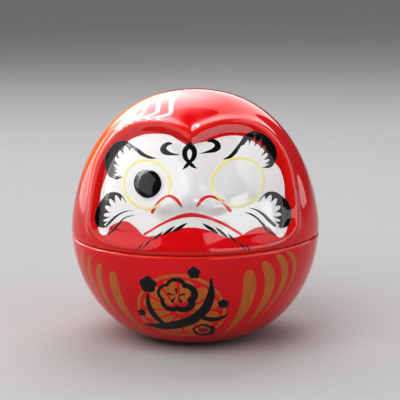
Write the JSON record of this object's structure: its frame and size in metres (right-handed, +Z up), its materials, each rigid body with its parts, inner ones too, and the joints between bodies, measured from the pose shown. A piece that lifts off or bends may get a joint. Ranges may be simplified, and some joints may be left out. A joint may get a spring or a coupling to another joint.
{
  "type": "daruma doll jar",
  "caption": "Round daruma doll in glazed ceramic: a deep lid with a face in relief sits on a shallow bowl.",
  "frame": {"origin": "centre of the foot ring, on the surface the jar stands on", "axes": "+Z up along the axis of the turned body; the doll's face looks towards -Y; +X is to the right of someone facing it"},
  "size_m": [0.09, 0.09, 0.09],
  "materials": {
    "bowl_glaze": "high-gloss red glaze over pale fired clay, fired enamel decoration, bare foot ring",
    "lid_glaze": "high-gloss red glaze with a white face, fired enamel lines in black, red and pale yellow",
    "seal_silicone": "soft translucent silicone, satin"
  },
  "bodies": {
    "bowl": {"bowl": "bowl_glaze"},
    "seal": {"seal_ring": "seal_silicone"},
    "lid": {"lid": "lid_glaze"}
  },
  "joints": [
    {"name": "lid_lift", "type": "slide", "parent": "bowl", "child": "seal", "axis": [0, 0, 1], "range_m": [0, 0.06]},
    {"name": "lid_turn", "type": "hinge", "parent": "seal", "child": "lid", "pos_m": [0, 0, 0.0348], "axis": [0, 0, 1], "continuous": true}
  ]
}
